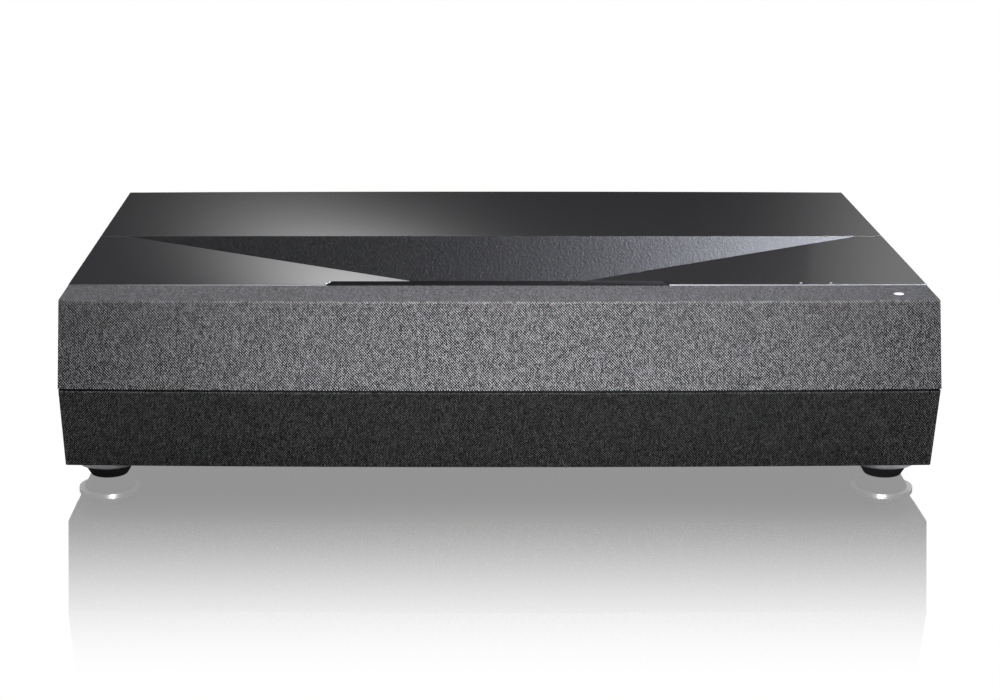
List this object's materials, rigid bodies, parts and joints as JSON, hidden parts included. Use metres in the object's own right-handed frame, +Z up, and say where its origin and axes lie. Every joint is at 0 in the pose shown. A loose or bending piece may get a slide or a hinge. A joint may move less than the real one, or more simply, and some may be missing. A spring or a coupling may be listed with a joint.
{
  "type": "ultra-short-throw home projector",
  "caption": "Low fabric-fronted laser projector that lights a wall from close by, with a sunk light well in its glossy top and screw-levelled feet.",
  "frame": {"origin": "on the floor under the middle of the body", "axes": "+X to the viewer's right along the front, +Y back towards the wall, +Z up"},
  "size_m": [0.56, 0.3828, 0.1292],
  "materials": {
    "upper_fabric": "light and dark grey melange weave",
    "lower_fabric": "charcoal melange weave",
    "shell": "fine moulded texture",
    "top_plate": "polished black",
    "well": "speckled matt",
    "window": "coated glass",
    "strip": "polished black",
    "light": "translucent",
    "trim": "satin",
    "frame_plastic": "moulded",
    "gasket": "matt",
    "spring": "bright wire",
    "board": "solder-masked board",
    "foot_metal": "turned, satin",
    "foot_rubber": "matt",
    "brass": "turned",
    "bench": "cast",
    "copper_block": "machined",
    "heatsink": "extruded",
    "phosphor": "coated disc",
    "optic_glass": "polished",
    "motor": "plated",
    "barrel": "black",
    "gear": "moulded",
    "mirror": "first-surface",
    "tray": "folded sheet",
    "socket_metal": "plated",
    "inlet": "moulded",
    "fan": "moulded",
    "cone": "pressed",
    "screw": "blackened"
  },
  "bodies": {
    "housing": {"base_pan": "shell", "left_side_panel": "shell", "right_side_panel": "shell", "rear_panel": "shell", "top_deck": "shell", "rear_top_plate": "top_plate", "left_wing_plate": "top_plate", "right_wing_plate": "top_plate", "light_well": "well", "projection_window": "window", "sensor_bar": "strip", "indicator_lights": "light", "trim_strip": "trim", "upper_grille_frame": "frame_plastic", "upper_fabric": "upper_fabric", "lower_grille_frame": "frame_plastic", "lower_fabric": "lower_fabric", "seam_gasket": "gasket", "button_spring": "spring", "switch_board": "board", "foot_inserts": "brass", "optical_bench": "bench", "laser_bank": "copper_block", "laser_heatsink": "heatsink", "wheel_motors": "motor", "relay_optics": "optic_glass", "prism": "optic_glass", "dmd_board": "board", "dmd_heatsink": "heatsink", "lens_barrel": "barrel", "barrel_lenses": "optic_glass", "focus_motor": "motor", "concave_mirror": "mirror", "main_board": "board", "power_supply": "tray", "sockets": "socket_metal", "ac_inlet": "inlet", "fan_frames": "fan", "speaker_boxes": "frame_plastic", "woofer_baskets": "tray", "tweeters": "cone", "case_screws": "screw"},
    "foot_fl": {"foot_fl_stud": "foot_metal", "foot_fl_pad": "foot_rubber"},
    "foot_fr": {"foot_fr_stud": "foot_metal", "foot_fr_pad": "foot_rubber"},
    "foot_rl": {"foot_rl_stud": "foot_metal", "foot_rl_pad": "foot_rubber"},
    "foot_rr": {"foot_rr_stud": "foot_metal", "foot_rr_pad": "foot_rubber"},
    "button": {"power_button": "light"},
    "fan_left": {"fan_rotor_left": "fan"},
    "fan_right": {"fan_rotor_right": "fan"},
    "phosphor": {"phosphor_wheel": "phosphor"},
    "colour": {"colour_wheel": "optic_glass"},
    "focus_ring_body": {"focus_ring": "gear"},
    "focus_pinion_body": {"focus_pinion": "gear"},
    "focus_group": {"focus_lens_group": "optic_glass"},
    "woofer_left": {"woofer_left_cone": "cone"},
    "woofer_right": {"woofer_right_cone": "cone"}
  },
  "joints": [
    {"name": "foot_fl_screw", "type": "slide", "parent": "housing", "child": "foot_fl", "axis": [0, 0, -1], "range_m": [0, 0.008]},
    {"name": "foot_fr_screw", "type": "slide", "parent": "housing", "child": "foot_fr", "axis": [0, 0, -1], "range_m": [0, 0.008]},
    {"name": "foot_rl_screw", "type": "slide", "parent": "housing", "child": "foot_rl", "axis": [0, 0, -1], "range_m": [0, 0.008]},
    {"name": "foot_rr_screw", "type": "slide", "parent": "housing", "child": "foot_rr", "axis": [0, 0, -1], "range_m": [0, 0.008]},
    {"name": "power_button", "type": "slide", "parent": "housing", "child": "button", "axis": [0, 0, -1], "range_m": [0, 0.0008], "stiffness_N_per_m": 600, "springref_m": -0.0015, "deforming": ["button_spring"]},
    {"name": "fan_left_spin", "type": "hinge", "parent": "housing", "child": "fan_left", "pos_m": [-0.262, 0.0599, 0.068], "axis": [1, 0, 0], "continuous": true},
    {"name": "fan_right_spin", "type": "hinge", "parent": "housing", "child": "fan_right", "pos_m": [0.262, 0.0599, 0.068], "axis": [1, 0, 0], "continuous": true},
    {"name": "phosphor_spin", "type": "hinge", "parent": "housing", "child": "phosphor", "pos_m": [0.14, 0.0829, 0.062], "axis": [1, 0, 0], "continuous": true},
    {"name": "colour_spin", "type": "hinge", "parent": "housing", "child": "colour", "pos_m": [0.104, 0.0359, 0.062], "axis": [1, 0, 0], "continuous": true},
    {"name": "focus_turn", "type": "hinge", "parent": "housing", "child": "focus_ring_body", "pos_m": [0, -0.0151, 0.062], "axis": [0, 1, 0], "range_deg": [-15, 15]},
    {"name": "pinion_turn", "type": "hinge", "parent": "housing", "child": "focus_pinion_body", "pos_m": [0.039, -0.0151, 0.062], "axis": [0, 1, 0], "range_deg": [-83, 83]},
    {"name": "focus_slide", "type": "slide", "parent": "housing", "child": "focus_group", "axis": [0, 1, 0], "range_m": [-0.0015, 0.0015]},
    {"name": "woofer_left_stroke", "type": "slide", "parent": "housing", "child": "woofer_left", "axis": [0, -1, 0], "range_m": [-0.003, 0.003], "stiffness_N_per_m": 800},
    {"name": "woofer_right_stroke", "type": "slide", "parent": "housing", "child": "woofer_right", "axis": [0, -1, 0], "range_m": [-0.003, 0.003], "stiffness_N_per_m": 800}
  ],
  "couplings": [
    {"joint": "focus_turn", "follows": "focus_slide", "rad_per_m": 174.53},
    {"joint": "pinion_turn", "follows": "focus_slide", "rad_per_m": -959.93}
  ]
}
